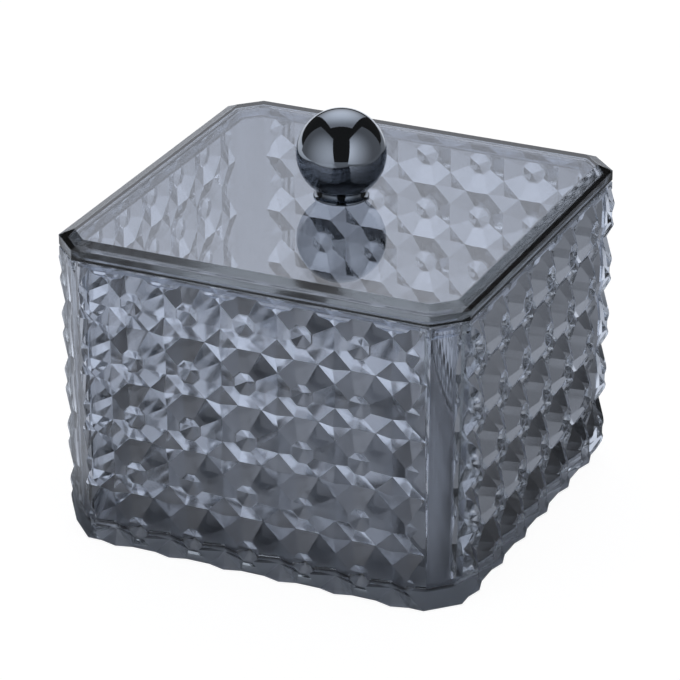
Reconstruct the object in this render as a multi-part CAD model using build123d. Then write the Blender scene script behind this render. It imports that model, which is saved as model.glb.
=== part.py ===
from build123d import *
import os
from math import sqrt

# A see-through, diamond-cut box for cotton pads: a square tray with cut corners, a thick bevelled
# lid that lifts straight off, and a black-chrome ball knob held by one screw from below.
# Millimetres, +Z up. The origin is the middle of the base, on the surface that the box stands on.
# The front is -Y and the right-hand side +X; the four walls are alike.

# ---- Driving dimensions: the box ----
OUTLINE_WIDTH = 100.0     # across the flats of the rim and of the lid
BOX_HEIGHT = 70.0         # from the base to the top of the rim
CORNER_LEG = 6.7          # leg of the 45 degree cut on each corner of the rim and the lid
PILLAR_LEG = 6.5          # the same on the box's body, where it cuts the end studs too
INSET_TOP = 0.6           # the walls' valleys lie this far inside the outline at the top
INSET_BASE = 1.4          # and this far at the base: the mould's draft
RIM_HEIGHT = 2.0          # upright face of the rim
RIM_SLOPE = 1.2           # height of the slope under the rim
PARTING_BREAK = 0.3       # broken edge on the rim and on the lid, where the two meet
FLOOR = 3.5               # floor thickness
WALL_TOP = 2.2            # from the valleys to the smooth inside, at the top
WALL_BASE = 2.4           # the same at the floor
FLOOR_RADIUS = 2.0        # inside radius between the floor and the walls

# ---- Driving dimensions: the relief of studs and diamonds ----
ROWS = 5                  # studs from the base to the rim
HALF_COLUMNS = 3          # studs on each side of a wall's middle one; the corner cut halves the last
PITCH_ACROSS = 13.8       # stud to stud along the wall
PITCH_UP = BOX_HEIGHT / ROWS
STUD_HEIGHT = 2.45        # how far a stud's crown stands out of the valleys
CROWN_SIZE = 0.40         # outside of the crown, as a share of the stud's octagon
CRATER_SIZE = 0.35        # mouth of the crater in the crown, as a share of the octagon
CRATER_DEPTH = 1.35       # depth of the eight-sided crater
DIAMOND_HEIGHT = 1.1      # apex of the low pyramid between four studs

# ---- Driving dimensions: the lid ----
LID_EDGE = 2.6            # upright edge of the lid
LID_BEVEL_WIDTH = 3.3     # bevel round the top, seen from above
LID_BEVEL_RISE = 1.5
LIP_DEPTH = 2.5           # the lip under the lid that keeps it centred
LIP_WALL = 1.6
LIP_CLEARANCE = 0.35      # between the lip and the box's inside, all round

# ---- Driving dimensions: the knob and its screw ----
BALL_RADIUS = 10.4
BALL_LIFT = 10.55         # ball's centre above the lid
FOOT_RADIUS = 6.4
FOOT_EDGE = 0.5           # height of the foot's bright edge
FOOT_BREAK = 0.15         # broken corners of that edge
WAIST_RADIUS = 4.9        # narrowest part, between the foot and the ball
BORE_DEPTH = 9.0
SCREW_LENGTH = 12.0       # M3, measured over its countersunk head
SCREW_RADIUS = 1.5
THREAD_CLEARANCE = 0.02   # the threads are drawn as plain faces that just clear each other
HOLE_RADIUS = 1.65        # clearance hole in the lid
HEAD_RADIUS = 2.8
HEAD_EDGE = 0.2           # upright edge of the head, before its cone
CROSS_LENGTH = 3.0        # recess for the driver
CROSS_WIDTH = 0.7
CROSS_DEPTH = 1.1

# ---- Worked out from the above ----
OUTLINE = OUTLINE_WIDTH / 2
VALLEY_TOP = OUTLINE - INSET_TOP
VALLEY_BASE = OUTLINE - INSET_BASE
PATTERN_END = (HALF_COLUMNS + 0.5) * PITCH_ACROSS
EDGE_SHARE = sqrt(2) - 1                 # edge of a regular octagon, as a share of its width
LID_TOP = BOX_HEIGHT + LID_EDGE + LID_BEVEL_RISE
DIAMOND_ACROSS = PITCH_ACROSS / 2 * (1 - EDGE_SHARE)
DIAMOND_UP = PITCH_UP / 2 * (1 - EDGE_SHARE)
OVERLAP = 0.5                            # how deep one solid is sunk into the next before they fuse


def corner_leg(inset):
    """Leg of the corner cut on an octagon that lies this far inside the outline, sides parallel."""
    return CORNER_LEG - inset * (2 - sqrt(2))


def solid_of(faces):
    """Sew flat faces that share all their edges into one closed solid."""
    return Solid(Shell([Face(Wire.make_polygon(points, close=True)) for points in faces]))


def octagon(z, half, leg):
    """The eight corners of a square with cut corners, anticlockwise from the front's left end."""
    flat = half - leg
    front = [(-flat, -half), (flat, -half)]
    turns = [lambda x, y: (x, y), lambda x, y: (-y, x), lambda x, y: (-x, -y), lambda x, y: (y, -x)]
    return [(*turn(x, y), z) for turn in turns for x, y in front]


def octagon_stack(levels):
    """A solid through octagons (z, half width, corner leg), one above the other."""
    rings = [octagon(*level) for level in levels]
    faces = [rings[0], rings[-1]]
    for low, high in zip(rings, rings[1:]):
        for i in range(8):
            j = (i + 1) % 8
            faces.append([low[i], low[j], high[j], high[i]])
    return solid_of(faces)


# ---- Relief: u runs along a wall, v up it, and d out of its valleys ----

def valley(v):
    """Half width of the walls' valleys at height v."""
    return VALLEY_BASE + (VALLEY_TOP - VALLEY_BASE) * v / BOX_HEIGHT


def wall_point(side, u, v, d):
    """Place a point of a wall: side 0 is the front, and the others follow anticlockwise."""
    x, y = u, -(valley(v) + d)
    for _ in range(side):
        x, y = -y, x
    return (x, y, v)


def stud_facets(u0, v0):
    """Flanks, crown and crater of one stud, as faces of (u, v, d)."""
    def ring(share, d):
        across, up = PITCH_ACROSS / 2 * share, PITCH_UP / 2 * share
        quarter = [(across, up * EDGE_SHARE), (across * EDGE_SHARE, up)]
        corners = quarter + [(-u, v) for u, v in reversed(quarter)]
        corners += [(-u, -v) for u, v in corners]
        return [(u0 + u, v0 + v, d) for u, v in corners]

    foot = ring(1.0, 0.0)
    crown = ring(CROWN_SIZE, STUD_HEIGHT)
    crater = ring(CRATER_SIZE, STUD_HEIGHT)
    bottom = (u0, v0, STUD_HEIGHT - CRATER_DEPTH)
    facets = []
    for i in range(8):
        j = (i + 1) % 8
        facets.append([foot[i], foot[j], crown[j], crown[i]])
        facets.append([crown[i], crown[j], crater[j], crater[i]])
        facets.append([crater[i], crater[j], bottom])
    return facets


def diamond_facets(u0, v0):
    """The low pyramid between four studs; at the base and at the rim only half of it is there."""
    apex = (u0, v0, DIAMOND_HEIGHT)
    facets = []
    for up in (-DIAMOND_UP, DIAMOND_UP):
        if not 0 < v0 + up < BOX_HEIGHT:
            continue
        tip = (u0, v0 + up, 0.0)
        for across in (-DIAMOND_ACROSS, DIAMOND_ACROSS):
            facets.append([(u0 + across, v0, 0.0), tip, apex])
    return facets


def end_ground(end):
    """The flat ground from the last studs of a wall to the block's upright edge."""
    ground = []
    for row in range(ROWS + 1):
        v0 = row * PITCH_UP
        for u, v in ((0.0, v0 - DIAMOND_UP), (DIAMOND_ACROSS, v0), (0.0, v0 + DIAMOND_UP)):
            if 0 <= v <= BOX_HEIGHT:
                ground.append((end * (PATTERN_END - u), v, 0.0))
    return ground + [(end * VALLEY_TOP, BOX_HEIGHT, 0.0), (end * VALLEY_BASE, 0.0, 0.0)]


def wall_facets():
    """All the faces of one wall, as lists of (u, v, d)."""
    facets = [end_ground(-1), end_ground(1)]
    for row in range(ROWS):
        for column in range(-HALF_COLUMNS, HALF_COLUMNS + 1):
            facets += stud_facets(column * PITCH_ACROSS, (row + 0.5) * PITCH_UP)
    for row in range(ROWS + 1):
        for column in range(-HALF_COLUMNS, HALF_COLUMNS):
            facets += diamond_facets((column + 0.5) * PITCH_ACROSS, row * PITCH_UP)
    return facets


def wall_line(v):
    """A wall's outline at the base or at the rim: flat, with a bump at each half diamond."""
    line = [(-valley(v), v, 0.0), (DIAMOND_ACROSS - PATTERN_END, v, 0.0)]
    for column in range(-HALF_COLUMNS, HALF_COLUMNS):
        u0 = (column + 0.5) * PITCH_ACROSS
        line += [(u0 - DIAMOND_ACROSS, v, 0.0), (u0, v, DIAMOND_HEIGHT), (u0 + DIAMOND_ACROSS, v, 0.0)]
    return line + [(PATTERN_END - DIAMOND_ACROSS, v, 0.0)]


def relief_block():
    """The box's outside as a solid block with four diamond-cut walls and square upright edges."""
    faces = []
    for side in range(4):
        faces += [[wall_point(side, *p) for p in facet] for facet in wall_facets()]
    for v in (0.0, BOX_HEIGHT):
        faces.append([wall_point(side, *p) for side in range(4) for p in wall_line(v)])
    return solid_of(faces)


def pillar_cut():
    """A prism that keeps what lies within the four flat pillars, and cuts off the end studs."""
    spare = 2 * STUD_HEIGHT
    levels = (-OVERLAP, BOX_HEIGHT + OVERLAP)
    return octagon_stack([(z, valley(z) + spare, PILLAR_LEG + 2 * spare) for z in levels])


def rim_block():
    """The plain rim, which stands out over the valleys, with a slope under it."""
    rim_low = BOX_HEIGHT - RIM_HEIGHT
    slope_low = rim_low - RIM_SLOPE
    inside = VALLEY_TOP - OVERLAP
    return octagon_stack([
        (slope_low - OVERLAP, inside, corner_leg(OUTLINE - inside)),
        (rim_low, OUTLINE, CORNER_LEG),
        (BOX_HEIGHT - PARTING_BREAK, OUTLINE, CORNER_LEG),
        (BOX_HEIGHT, OUTLINE - PARTING_BREAK, corner_leg(PARTING_BREAK)),
    ])


def inside_half(z):
    """Half width of the smooth inside at height z."""
    low = valley(FLOOR) - WALL_BASE
    high = VALLEY_TOP - WALL_TOP
    return low + (high - low) * (z - FLOOR) / (BOX_HEIGHT - FLOOR)


def inside_block():
    """The hollow: smooth tapered walls, cut corners and a rounded edge round the floor."""
    above = BOX_HEIGHT + 1.0
    leg = corner_leg(OUTLINE - inside_half(BOX_HEIGHT))
    block = octagon_stack([(FLOOR, inside_half(FLOOR), leg), (above, inside_half(above), leg)])
    return fillet(block.faces().sort_by(Axis.Z)[0].edges(), FLOOR_RADIUS)


def make_box():
    return (relief_block() & pillar_cut()) + rim_block() - inside_block()


# ---- Lid ----

def make_lid():
    """A thick plate with a broad bevel, a centring lip below, and a countersunk hole in the middle."""
    edge_top = BOX_HEIGHT + LID_EDGE
    plate = octagon_stack([
        (BOX_HEIGHT, OUTLINE - PARTING_BREAK, corner_leg(PARTING_BREAK)),
        (BOX_HEIGHT + PARTING_BREAK, OUTLINE, CORNER_LEG),
        (edge_top, OUTLINE, CORNER_LEG),
        (LID_TOP, OUTLINE - LID_BEVEL_WIDTH, corner_leg(LID_BEVEL_WIDTH)),
    ])
    lip_half = inside_half(BOX_HEIGHT - LIP_DEPTH) - LIP_CLEARANCE
    lip_leg = corner_leg(OUTLINE - lip_half)
    hollow_leg = corner_leg(OUTLINE - lip_half + LIP_WALL)
    lip_low = BOX_HEIGHT - LIP_DEPTH
    lip = octagon_stack([
        (lip_low, lip_half - PARTING_BREAK, lip_leg + PARTING_BREAK * (2 - sqrt(2))),
        (lip_low + PARTING_BREAK, lip_half, lip_leg),
        (BOX_HEIGHT + OVERLAP, lip_half, lip_leg),
    ])
    hollow = octagon_stack([
        (lip_low - 1.0, lip_half - LIP_WALL, hollow_leg),
        (BOX_HEIGHT, lip_half - LIP_WALL, hollow_leg),
    ])
    cone_top = HEAD_EDGE + (HEAD_RADIUS - SCREW_RADIUS)
    seat = revolve(make_face(Plane.XZ * Polyline(
        (0, BOX_HEIGHT - 1.0), (HEAD_RADIUS, BOX_HEIGHT - 1.0), (HEAD_RADIUS, BOX_HEIGHT + HEAD_EDGE),
        (SCREW_RADIUS, BOX_HEIGHT + cone_top), (0, BOX_HEIGHT + cone_top), close=True)), Axis.Z)
    hole = Pos(0, 0, LID_TOP) * Cylinder(HOLE_RADIUS, 2 * (LID_TOP - BOX_HEIGHT))
    return plate + (lip - hollow) - seat - hole


# ---- Knob and screw ----

def make_knob():
    """A turned ball on a short waisted foot, with a blind hole for the screw."""
    centre = LID_TOP + BALL_LIFT
    waist_z = centre - sqrt(BALL_RADIUS ** 2 - WAIST_RADIUS ** 2)
    edge_z = LID_TOP + FOOT_EDGE
    shoulder = FOOT_RADIUS - FOOT_BREAK
    bend = ((shoulder + WAIST_RADIUS) / 2 - 0.2, (edge_z + waist_z) / 2 - 0.1)
    with BuildSketch(Plane.XZ) as profile:
        with BuildLine():
            Polyline((0, LID_TOP), (shoulder, LID_TOP), (FOOT_RADIUS, LID_TOP + FOOT_BREAK),
                     (FOOT_RADIUS, edge_z - FOOT_BREAK), (shoulder, edge_z))
            ThreePointArc((shoulder, edge_z), bend, (WAIST_RADIUS, waist_z))
            ThreePointArc((WAIST_RADIUS, waist_z), (BALL_RADIUS, centre), (0, centre + BALL_RADIUS))
            Line((0, centre + BALL_RADIUS), (0, LID_TOP))
        make_face()
    ball = revolve(profile.sketch, Axis.Z)
    bore_radius = SCREW_RADIUS + THREAD_CLEARANCE
    return ball - Pos(0, 0, LID_TOP) * Cylinder(bore_radius, 2 * BORE_DEPTH)


def make_knob_screw():
    """A countersunk machine screw, head down and flush with the underside of the lid."""
    cone_top = BOX_HEIGHT + HEAD_EDGE + (HEAD_RADIUS - SCREW_RADIUS)
    tip = BOX_HEIGHT + SCREW_LENGTH
    tip_bevel = SCREW_RADIUS / 3
    shape = revolve(make_face(Plane.XZ * Polyline(
        (0, BOX_HEIGHT), (HEAD_RADIUS, BOX_HEIGHT), (HEAD_RADIUS, BOX_HEIGHT + HEAD_EDGE),
        (SCREW_RADIUS, cone_top), (SCREW_RADIUS, tip - tip_bevel), (SCREW_RADIUS - tip_bevel, tip),
        (0, tip), close=True)), Axis.Z)
    for length, width in ((CROSS_LENGTH, CROSS_WIDTH), (CROSS_WIDTH, CROSS_LENGTH)):
        shape -= Pos(0, 0, BOX_HEIGHT) * Box(length, width, 2 * CROSS_DEPTH)
    return shape


def main():
    os.makedirs("parts", exist_ok=True)
    nodes = {"box": make_box(), "lid": make_lid(), "knob": make_knob(), "knob_screw": make_knob_screw()}
    for name, shape in nodes.items():
        export_step(shape, f"parts/{name}.step")


main()
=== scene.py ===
"""Dresses a see-through cotton pad box, with its lift-off lid and ball knob, for a picture."""

from math import cos, radians, sin

import bpy
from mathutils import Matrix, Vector

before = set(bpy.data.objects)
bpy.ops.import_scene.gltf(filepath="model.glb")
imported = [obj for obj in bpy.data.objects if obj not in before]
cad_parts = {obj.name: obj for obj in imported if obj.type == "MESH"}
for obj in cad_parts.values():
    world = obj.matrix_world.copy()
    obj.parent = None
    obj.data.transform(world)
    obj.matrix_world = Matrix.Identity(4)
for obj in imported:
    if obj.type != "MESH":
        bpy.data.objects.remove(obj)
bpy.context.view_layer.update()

bl_info = {
    "name": "Cotton pad box",
    "version": (1, 0, 0),
    "blender": (4, 5, 0),
    "location": "3D View > Sidebar > Pad box",
    "description": "Gives the pad box its smoke-grey plastic, black chrome and steel, and a studio",
    "category": "Object",
}

MM = 0.001

# The inside of the box lies within this half width, above this height; the cut corners lie
# where the two distances from the middle add up to CORNER_SUM times that half width.
CORE_HALF = 47.8 * MM
CORE_LOW = 2.0 * MM
CORNER_SUM = 1.886
CORNER_START = 87.5 * MM
CORNER_ROUNDING = 6.0 * MM
BASE_TOP = 0.05 * MM          # the face that the box stands on lies below this height
LID_FLAT_HALF = 46.7 * MM     # the lid's bevel starts this far from its middle

# The stage. A direction is (azimuth, elevation) in degrees: azimuth 0 is in front, 90 to the right.
CAMERA_DIRECTION = (24.41, 25.05)
CAMERA_DISTANCE = 841.9 * MM
CAMERA_TARGET = (-0.35 * MM, 0.0, 37.61 * MM)
SENSOR_WIDTH = 36.0           # millimetres
BACKDROP = (213, 0)           # the middle of the bright backdrop, just left of straight behind
PANEL_DISTANCE = 800 * MM
# Each panel's name, corners and brightest direction, its level there and at the rim, and the
# distance in metres over which it falls off.
PANELS = (
    ("left_panel", ((10, -10), (-9.5, 57), (-94, 50), (-94, -20)), (-20, 18), 1.6, 0.25, 0.7),
    ("right_panel", ((38, -10), (58, 57), (143, 50), (143, -20)), (52, 27), 1.8, 0.25, 0.7),
    ("back_panel", ((184, 15), (224, 15), (290, 70), (118, 70)), (206, 50), 2.3, 0.5, 0.5),
)
FLOOR_RADIUS = 3.0
FLOOR_DROP = 0.3 * MM         # the floor lies this far below the base
SHOWN_LEVEL = 1.10            # the floor as the camera sees it: pure white
SHOWN_SHARE = 0.85            # the rest of it is paint, which shows the box's faint shadow
WORLD_DIFFUSE = 0.6
WORLD_GLOSSY = 0.03
BOUNCES = 40


# ---------------------------------------------------------------- colours and nodes

def srgb(code):
    """Linear colour, with alpha, of a hex code such as 8A8F99."""
    def linear(byte):
        c = byte / 255
        return c / 12.92 if c <= 0.04045 else ((c + 0.055) / 1.055) ** 2.4
    return tuple(linear(int(code[i:i + 2], 16)) for i in (0, 2, 4)) + (1.0,)


def add(tree, kind, inputs=None, **settings):
    """Add a node, with its settings, its constant inputs and the links that come into it."""
    node = tree.nodes.new(kind)
    for name, value in settings.items():
        setattr(node, name, value)
    for name, value in (inputs or {}).items():
        socket = node.inputs[name]
        if isinstance(value, bpy.types.NodeSocket):
            tree.links.new(value, socket)
        else:
            socket.default_value = value
    return node


def new_material(name):
    """An empty material, its tree and its output."""
    material = bpy.data.materials.new(name)
    material.use_nodes = True
    material.node_tree.nodes.clear()
    return material, material.node_tree, add(material.node_tree, "ShaderNodeOutputMaterial")


def dress(node, material):
    """Give a CAD node its finish."""
    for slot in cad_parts[node].material_slots:
        slot.material = material


# ---------------------------------------------------------------- settings

class PADBOX_PG_plastic(bpy.types.PropertyGroup):
    """The smoke-grey plastic of the box and lid"""
    ior: bpy.props.FloatProperty(
        name="IOR", description="Refraction of clear styrene-acrylonitrile", default=1.57)
    wall_tint: bpy.props.FloatVectorProperty(
        name="Wall tint", description="Colour of white light once it has gone through a wall",
        subtype="COLOR", size=4, default=srgb("E6E9F0"))
    lid_tint: bpy.props.FloatVectorProperty(
        name="Lid tint", description="The same through the lid, which is thicker",
        subtype="COLOR", size=4, default=srgb("C2C6CD"))
    wall_streak: bpy.props.FloatVectorProperty(
        name="Wall streak", description="The wall's tint in the flow lines of the melt",
        subtype="COLOR", size=4, default=srgb("DDE2EA"))
    lid_streak: bpy.props.FloatVectorProperty(
        name="Lid streak", description="The lid's tint in the flow lines of the melt",
        subtype="COLOR", size=4, default=srgb("BABFC7"))
    core_roughness: bpy.props.FloatProperty(
        name="Core roughness", description="Roughness inside the box, where the mould is less polished",
        default=0.08, min=0.0, max=1.0)
    edge_roughness: bpy.props.FloatProperty(
        name="Edge roughness", description="Roughness of the lid's bevel and upright edge",
        default=0.20, min=0.0, max=1.0)
    base_roughness: bpy.props.FloatProperty(
        name="Base roughness", description="Roughness of the spark-eroded face that the box stands on",
        default=0.45, min=0.0, max=1.0)
    smoke: bpy.props.FloatVectorProperty(
        name="Smoke", description="Colour that long ways inside the plastic turn to",
        subtype="COLOR", size=4, default=srgb("7F9A94"))
    density: bpy.props.FloatProperty(
        name="Density", description="Absorption per metre of plastic", default=3.5)


class PADBOX_PG_metal(bpy.types.PropertyGroup):
    """The plated knob and its screw"""
    chrome: bpy.props.FloatVectorProperty(
        name="Chrome", description="Colour of the black chrome",
        subtype="COLOR", size=4, default=srgb("8D9399"))
    chrome_bloom: bpy.props.FloatVectorProperty(
        name="Chrome bloom", description="Colour of the plate where it has bloomed",
        subtype="COLOR", size=4, default=srgb("848A92"))
    steel: bpy.props.FloatVectorProperty(
        name="Steel", description="Colour of the screw",
        subtype="COLOR", size=4, default=srgb("BABABC"))
    steel_film: bpy.props.FloatVectorProperty(
        name="Oil film", description="Colour of the screw under its oil film",
        subtype="COLOR", size=4, default=srgb("A9A7A2"))


class PADBOX_PG_stage(bpy.types.PropertyGroup):
    """The floor, lamps and camera"""
    floor: bpy.props.FloatVectorProperty(
        name="Floor", description="Colour of the floor's paint",
        subtype="COLOR", size=4, default=srgb("F2F2F2"))
    lens: bpy.props.FloatProperty(
        name="Lens", description="Focal length on a 36 mm sensor, in millimetres", default=191.2)


# ---------------------------------------------------------------- operators

def off_middle(tree, place):
    """How far out a point lies, from the box's upright middle line to its cut-cornered outline."""
    spread = add(tree, "ShaderNodeVectorMath", {0: place}, operation="ABSOLUTE")
    axes = add(tree, "ShaderNodeSeparateXYZ", {0: spread.outputs[0]}).outputs
    flat = add(tree, "ShaderNodeMath", {0: axes[0], 1: axes[1]}, operation="MAXIMUM")
    both = add(tree, "ShaderNodeMath", {0: axes[0], 1: axes[1]}, operation="ADD")
    corner = add(tree, "ShaderNodeMath", {0: both.outputs[0], 1: CORNER_SUM}, operation="DIVIDE")
    out = add(tree, "ShaderNodeMath", {0: flat.outputs[0], 1: corner.outputs[0]}, operation="MAXIMUM")
    return out.outputs[0], axes


def smoky_plastic(name, clear, streaked):
    """Moulded smoke-grey SAN: clear, glossy, with the faint streaks and waves of a thick moulding."""
    s = bpy.context.scene.padbox_plastic
    material, tree, output = new_material(name)
    place = add(tree, "ShaderNodeTexCoord").outputs["Object"]
    flat = add(tree, "ShaderNodeNewGeometry").outputs["True Normal"]
    # shallow waves, as thick plastic shrinks unevenly while it sets
    wave = add(tree, "ShaderNodeTexNoise", {"Vector": place, "Scale": 1 / (17 * MM), "Detail": 1.0})
    sink = add(tree, "ShaderNodeBump", {
        "Height": wave.outputs["Fac"], "Strength": 1.0, "Distance": 0.012 * MM, "Normal": flat})
    # flow lines: the melt runs up the walls, and leaves faint streaks along its way
    along = add(tree, "ShaderNodeMapping", {"Vector": place, "Scale": (1.0, 1.0, 0.12)})
    streak = add(tree, "ShaderNodeTexNoise", {
        "Vector": along.outputs[0], "Scale": 1 / (3.2 * MM), "Detail": 2.0, "Roughness": 0.6})
    bump = add(tree, "ShaderNodeBump", {
        "Height": streak.outputs["Fac"], "Strength": 1.0, "Distance": 0.002 * MM,
        "Normal": sink.outputs[0]})
    tint = add(tree, "ShaderNodeMix", {
        0: streak.outputs["Fac"], 6: clear, 7: streaked}, data_type="RGBA")
    shader = add(tree, "ShaderNodeBsdfPrincipled", {
        "Base Color": tint.outputs[2], "IOR": s.ior,
        "Transmission Weight": 1.0, "Normal": bump.outputs["Normal"]})
    smoke = add(tree, "ShaderNodeVolumeAbsorption", {"Color": s.smoke, "Density": s.density})
    tree.links.new(shader.outputs[0], output.inputs["Surface"])
    tree.links.new(smoke.outputs[0], output.inputs["Volume"])
    return material, tree, place, shader


def box_plastic():
    """The box's plastic: bright outside, a little duller inside, and matt where it stands."""
    s = bpy.context.scene.padbox_plastic
    material, tree, place, shader = smoky_plastic("moulded_smoke_plastic", s.wall_tint, s.wall_streak)
    out, axes = off_middle(tree, place)
    inside = add(tree, "ShaderNodeMath", {0: out, 1: CORE_HALF}, operation="LESS_THAN")
    above = add(tree, "ShaderNodeMath", {0: axes[2], 1: CORE_LOW}, operation="GREATER_THAN")
    core = add(tree, "ShaderNodeMath", {0: inside.outputs[0], 1: above.outputs[0]}, operation="MULTIPLY")
    dull = add(tree, "ShaderNodeMath", {0: core.outputs[0], 1: s.core_roughness}, operation="MULTIPLY")
    under = add(tree, "ShaderNodeMath", {0: axes[2], 1: BASE_TOP}, operation="LESS_THAN")
    matt = add(tree, "ShaderNodeMath", {0: under.outputs[0], 1: s.base_roughness}, operation="MULTIPLY")
    rough = add(tree, "ShaderNodeMath", {0: dull.outputs[0], 1: matt.outputs[0]}, operation="MAXIMUM")
    tree.links.new(rough.outputs[0], shader.inputs["Roughness"])
    # the upright inside corners are rounded, which makes a lens of each corner pillar
    across = add(tree, "ShaderNodeMath", {0: axes[0], 1: axes[1]}, operation="SUBTRACT")
    curve = add(tree, "ShaderNodeMath", {0: across.outputs[0], 1: across.outputs[0]}, operation="MULTIPLY")
    both = add(tree, "ShaderNodeMath", {0: axes[0], 1: axes[1]}, operation="ADD")
    corner = add(tree, "ShaderNodeMath", {0: both.outputs[0], 1: CORNER_START}, operation="GREATER_THAN")
    where = add(tree, "ShaderNodeMath", {0: core.outputs[0], 1: corner.outputs[0]}, operation="MULTIPLY")
    height = add(tree, "ShaderNodeMath", {0: curve.outputs[0], 1: where.outputs[0]}, operation="MULTIPLY")
    surface = shader.inputs["Normal"].links[0].from_node
    lens = add(tree, "ShaderNodeBump", {
        "Height": height.outputs[0], "Strength": 1.0, "Distance": -1 / (4 * CORNER_ROUNDING),
        "Normal": surface.outputs["Normal"]})
    tree.links.new(lens.outputs["Normal"], shader.inputs["Normal"])
    return material


def lid_plastic():
    """The lid's plastic: a bright plate, with a border that isn't buffed."""
    s = bpy.context.scene.padbox_plastic
    material, tree, place, shader = smoky_plastic("moulded_smoke_plastic_lid", s.lid_tint, s.lid_streak)
    out, _ = off_middle(tree, place)
    dull = add(tree, "ShaderNodeMapRange", {
        "Value": out, "From Min": LID_FLAT_HALF - 0.1 * MM, "From Max": LID_FLAT_HALF,
        "To Min": 0.0, "To Max": s.edge_roughness})
    tree.links.new(dull.outputs[0], shader.inputs["Roughness"])
    return material


def black_chrome_plate():
    """Black chrome on a buffed ball: a dark mirror, with a faint bloom where it was handled."""
    s = bpy.context.scene.padbox_metal
    material, tree, output = new_material("black_chrome_plate")
    place = add(tree, "ShaderNodeTexCoord").outputs["Object"]
    bloom = add(tree, "ShaderNodeTexNoise", {
        "Vector": place, "Scale": 1 / (6 * MM), "Detail": 4.0, "Roughness": 0.65})
    dull = add(tree, "ShaderNodeMapRange", {
        "Value": bloom.outputs["Fac"], "From Min": 0.35, "From Max": 0.75, "To Min": 0.035, "To Max": 0.09})
    shade = add(tree, "ShaderNodeMix", {
        0: bloom.outputs["Fac"], 6: s.chrome, 7: s.chrome_bloom}, data_type="RGBA")
    # buffing lines run round the ball, far finer than they are drawn here
    level = add(tree, "ShaderNodeMapping", {"Vector": place, "Scale": (0.05, 0.05, 1.0)})
    line = add(tree, "ShaderNodeTexNoise", {
        "Vector": level.outputs[0], "Scale": 1 / (0.5 * MM), "Detail": 2.0})
    buff = add(tree, "ShaderNodeBump", {
        "Height": line.outputs["Fac"], "Strength": 1.0, "Distance": 0.0006 * MM})
    shader = add(tree, "ShaderNodeBsdfPrincipled", {
        "Base Color": shade.outputs[2], "Metallic": 1.0, "Roughness": dull.outputs[0],
        "Normal": buff.outputs[0]})
    tree.links.new(shader.outputs[0], output.inputs["Surface"])
    return material


def turned_steel():
    """Bright steel with the rings that the lathe leaves, and a thin oil film in patches."""
    s = bpy.context.scene.padbox_metal
    material, tree, output = new_material("turned_steel")
    place = add(tree, "ShaderNodeTexCoord").outputs["Object"]
    rings = add(tree, "ShaderNodeTexWave", {
        "Vector": place, "Scale": 1 / (0.25 * MM) / 20, "Distortion": 0.4},
        wave_type="RINGS", rings_direction="Z")
    groove = add(tree, "ShaderNodeBump", {
        "Height": rings.outputs["Fac"], "Strength": 1.0, "Distance": 0.004 * MM})
    film = add(tree, "ShaderNodeTexNoise", {"Vector": place, "Scale": 1 / (1.5 * MM), "Detail": 3.0})
    dull = add(tree, "ShaderNodeMapRange", {
        "Value": film.outputs["Fac"], "From Min": 0.3, "From Max": 0.7, "To Min": 0.20, "To Max": 0.34})
    shade = add(tree, "ShaderNodeMix", {
        0: film.outputs["Fac"], 6: s.steel, 7: s.steel_film}, data_type="RGBA")
    shader = add(tree, "ShaderNodeBsdfPrincipled", {
        "Base Color": shade.outputs[2], "Metallic": 1.0, "Roughness": dull.outputs[0],
        "Normal": groove.outputs[0]})
    tree.links.new(shader.outputs[0], output.inputs["Surface"])
    return material


class PADBOX_OT_box(bpy.types.Operator):
    """Give the box its plastic"""
    bl_idname = "padbox.box"
    bl_label = "Box"

    def execute(self, context):
        dress("box", box_plastic())
        return {"FINISHED"}


class PADBOX_OT_lid(bpy.types.Operator):
    """Give the lid its plastic"""
    bl_idname = "padbox.lid"
    bl_label = "Lid"

    def execute(self, context):
        dress("lid", lid_plastic())
        return {"FINISHED"}


class PADBOX_OT_knob(bpy.types.Operator):
    """Give the knob its black chrome and the screw its steel"""
    bl_idname = "padbox.knob"
    bl_label = "Knob"

    def execute(self, context):
        dress("knob", black_chrome_plate())
        dress("knob_screw", turned_steel())
        return {"FINISHED"}


def towards(azimuth, elevation):
    """Unit vector in a direction."""
    a, e = radians(azimuth), radians(elevation)
    return Vector((sin(a) * cos(e), -cos(a) * cos(e), sin(e)))


def light_panel(name, corners, hot, core, rim, fall):
    """A sheet of lit diffuser between four directions, brightest at one of them."""
    bpy.ops.object.select_all(action="DESELECT")
    bpy.ops.mesh.primitive_plane_add()
    panel = bpy.context.object
    panel.name = name
    order = (0, 1, 3, 2)
    for vertex, corner in zip(panel.data.vertices, (corners[i] for i in order)):
        vertex.co = PANEL_DISTANCE * towards(*corner)
    material, tree, output = new_material(name + "_diffuser")
    place = add(tree, "ShaderNodeTexCoord").outputs["Object"]
    away = add(tree, "ShaderNodeVectorMath", {
        0: place, 1: PANEL_DISTANCE * towards(*hot)}, operation="DISTANCE")
    level = add(tree, "ShaderNodeMapRange", {
        "Value": away.outputs["Value"], "From Min": 0.0, "From Max": fall, "To Min": core, "To Max": rim},
        interpolation_type="SMOOTHSTEP").outputs[0]
    light = add(tree, "ShaderNodeEmission", {"Color": srgb("F1F5FF"), "Strength": level})
    tree.links.new(light.outputs[0], output.inputs["Surface"])
    panel.data.materials.append(material)
    panel.visible_camera = False


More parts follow.
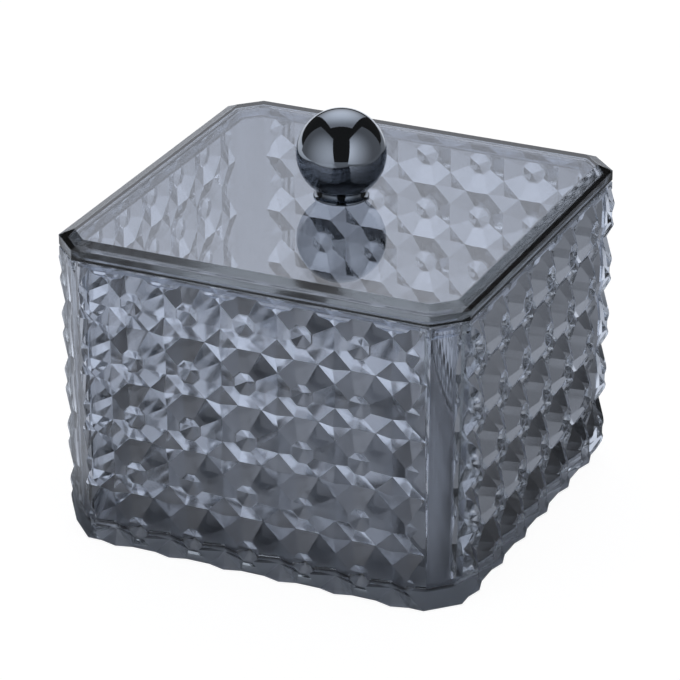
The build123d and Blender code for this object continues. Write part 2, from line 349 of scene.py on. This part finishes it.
def lay_floor(colour):
    """A white floor for the camera; the plastic and mirrors see it dim under and near the box and to the
    right, as painted shadow and shade, with a faint painted pool of light under the middle and painted
    light rising far off.
    """
    bpy.ops.object.select_all(action="DESELECT")
    bpy.ops.mesh.primitive_circle_add(
        vertices=96, radius=FLOOR_RADIUS, fill_type="NGON", location=(0, 0, -FLOOR_DROP))
    floor = bpy.context.object
    floor.name = "floor"
    material, tree, output = new_material("floor_paint")
    path = add(tree, "ShaderNodeLightPath").outputs
    seen = add(tree, "ShaderNodeMath", {
        0: path["Is Camera Ray"], 1: path["Is Glossy Ray"]}, operation="MAXIMUM")
    seen = add(tree, "ShaderNodeMath", {
        0: seen.outputs[0], 1: path["Is Transmission Ray"]}, operation="MAXIMUM")
    place = add(tree, "ShaderNodeTexCoord").outputs["Object"]
    spread = add(tree, "ShaderNodeVectorMath", {0: place}, operation="ABSOLUTE")
    axes = add(tree, "ShaderNodeSeparateXYZ", {0: spread.outputs[0]})
    away = add(tree, "ShaderNodeMath", {0: axes.outputs[0], 1: axes.outputs[1]}, operation="MAXIMUM")
    # painted shade: the floor glows dimmer towards the right
    across = add(tree, "ShaderNodeSeparateXYZ", {0: place}).outputs[0]
    painted_shade_to_right = add(tree, "ShaderNodeMapRange", {
        "Value": across, "From Min": 0.0, "From Max": 0.10, "To Min": 0.54, "To Max": 0.18},
        interpolation_type="SMOOTHSTEP").outputs[0]
    # painted light and shadow: a faint pool of light painted on the floor under the middle of the base, as
    # light falling through the lid would make, and painted shadow on the rest, where the walls' relief
    # would keep it off
    under = add(tree, "ShaderNodeMapRange", {
        "Value": away.outputs[0], "From Min": 0.015, "From Max": 0.044, "To Min": 0.20, "To Max": 0.02},
        interpolation_type="SMOOTHSTEP").outputs[0]
    # painted shadow round the box's footprint, fading out to the floor's level beyond it
    painted_shade_near_box = add(tree, "ShaderNodeMapRange", {
        "Value": away.outputs[0], "From Min": 0.050, "From Max": 0.080, "To Min": under, "To Max": painted_shade_to_right},
        interpolation_type="SMOOTHSTEP").outputs[0]
    # painted light: the floor glows brighter further from the box
    painted_light_far_off = add(tree, "ShaderNodeMapRange", {
        "Value": away.outputs[0], "From Min": 0.10, "From Max": 0.50, "To Min": 0.0, "To Max": 1.0},
        interpolation_type="SMOOTHSTEP").outputs[0]
    painted_light_far_off = add(tree, "ShaderNodeMath", {0: painted_light_far_off, 1: painted_shade_to_right}, operation="MULTIPLY")
    shade = add(tree, "ShaderNodeMath", {0: painted_shade_near_box, 1: painted_light_far_off.outputs[0]}, operation="ADD")
    level = add(tree, "ShaderNodeMix", {
        0: path["Is Camera Ray"], 2: shade.outputs[0], 3: SHOWN_LEVEL})
    tone = add(tree, "ShaderNodeMix", {
        0: path["Is Camera Ray"], 6: srgb("F0F5FF"), 7: (1, 1, 1, 1)}, data_type="RGBA")
    glow = add(tree, "ShaderNodeEmission", {"Color": tone.outputs[2], "Strength": level.outputs[0]})
    paint = add(tree, "ShaderNodeBsdfDiffuse", {"Color": colour})
    share = add(tree, "ShaderNodeMix", {
        0: path["Is Camera Ray"], 2: seen.outputs[0], 3: SHOWN_SHARE})
    mix = add(tree, "ShaderNodeMixShader", {0: share.outputs[0], 1: paint.outputs[0], 2: glow.outputs[0]})
    tree.links.new(mix.outputs[0], output.inputs["Surface"])
    floor.data.materials.append(material)


def light_room():
    """The light tent's walls: white for the camera, dim in mirrors, with a low bright backdrop."""
    world = bpy.data.worlds.new("studio")
    bpy.context.scene.world = world
    world.use_nodes = True
    tree = world.node_tree
    tree.nodes.clear()
    path = add(tree, "ShaderNodeLightPath").outputs
    white = add(tree, "ShaderNodeBackground", {"Color": (1, 1, 1, 1), "Strength": 1.0})
    room = add(tree, "ShaderNodeBackground", {"Color": (1, 1, 1, 1), "Strength": WORLD_DIFFUSE})
    dark = add(tree, "ShaderNodeBackground", {"Color": (1, 1, 1, 1), "Strength": WORLD_GLOSSY})
    way = add(tree, "ShaderNodeTexCoord").outputs["Generated"]
    facing = add(tree, "ShaderNodeVectorMath", {0: way, 1: towards(*BACKDROP)}, operation="DOT_PRODUCT")
    behind = add(tree, "ShaderNodeMapRange", {
        "Value": facing.outputs["Value"], "From Min": 0.30, "From Max": 0.80, "To Min": 0.0, "To Max": 1.0},
        interpolation_type="SMOOTHSTEP").outputs[0]
    height = add(tree, "ShaderNodeSeparateXYZ", {0: way}).outputs[2]
    low = add(tree, "ShaderNodeMapRange", {
        "Value": height, "From Min": 0.45, "From Max": 0.10, "To Min": 0.05, "To Max": 1.0},
        interpolation_type="SMOOTHSTEP").outputs[0]
    glow = add(tree, "ShaderNodeMath", {0: behind, 1: low}, operation="MULTIPLY")
    backdrop = add(tree, "ShaderNodeBackground", {"Color": srgb("F0F5FF"), "Strength": glow.outputs[0]})
    mix = room
    for ray, light in (("Glossy", dark), ("Transmission", backdrop), ("Camera", white)):
        mix = add(tree, "ShaderNodeMixShader", {
            0: path["Is " + ray + " Ray"], 1: mix.outputs[0], 2: light.outputs[0]})
    out = add(tree, "ShaderNodeOutputWorld")
    tree.links.new(mix.outputs[0], out.inputs["Surface"])


def place_camera(lens):
    """The camera, where the photo was taken from."""
    camera = bpy.data.objects.new("camera", bpy.data.cameras.new("camera"))
    bpy.context.scene.collection.objects.link(camera)
    target = Vector(CAMERA_TARGET)
    camera.location = target + CAMERA_DISTANCE * towards(*CAMERA_DIRECTION)
    camera.rotation_euler = (target - camera.location).to_track_quat("-Z", "Y").to_euler()
    camera.data.sensor_width = SENSOR_WIDTH
    camera.data.lens = lens
    bpy.context.scene.camera = camera


class PADBOX_OT_stage(bpy.types.Operator):
    """Set up the floor, the lamps and the camera"""
    bl_idname = "padbox.stage"
    bl_label = "Stage"

    def execute(self, context):
        s = context.scene.padbox_stage
        lay_floor(s.floor)
        light_room()
        for panel in PANELS:
            light_panel(*panel)
        place_camera(s.lens)
        context.scene.view_settings.view_transform = "Standard"
        # Light runs to and fro inside the lid and the walls many times before it comes out.
        cycles = context.scene.cycles
        cycles.max_bounces = cycles.glossy_bounces = cycles.transmission_bounces = BOUNCES
        return {"FINISHED"}


class PADBOX_PT_panel(bpy.types.Panel):
    """Lists the steps in the sidebar"""
    bl_idname = "PADBOX_PT_panel"
    bl_label = "Cotton pad box"
    bl_space_type = "VIEW_3D"
    bl_region_type = "UI"
    bl_category = "Pad box"

    def draw(self, context):
        column = self.layout.column()
        for step in OPERATORS:
            column.operator(step.bl_idname)


OPERATORS = (PADBOX_OT_box, PADBOX_OT_lid, PADBOX_OT_knob, PADBOX_OT_stage)
GROUPS = {
    "padbox_plastic": PADBOX_PG_plastic,
    "padbox_metal": PADBOX_PG_metal,
    "padbox_stage": PADBOX_PG_stage,
}


def register():
    for cls in (*GROUPS.values(), *OPERATORS, PADBOX_PT_panel):
        bpy.utils.register_class(cls)
    for name, group in GROUPS.items():
        setattr(bpy.types.Scene, name, bpy.props.PointerProperty(type=group))


def unregister():
    for name in GROUPS:
        delattr(bpy.types.Scene, name)
    for cls in (PADBOX_PT_panel, *reversed(OPERATORS), *GROUPS.values()):
        bpy.utils.unregister_class(cls)


def main():
    register()
    bpy.ops.padbox.box()
    bpy.ops.padbox.lid()
    bpy.ops.padbox.knob()
    bpy.ops.padbox.stage()


if __name__ == "__main__":
    main()
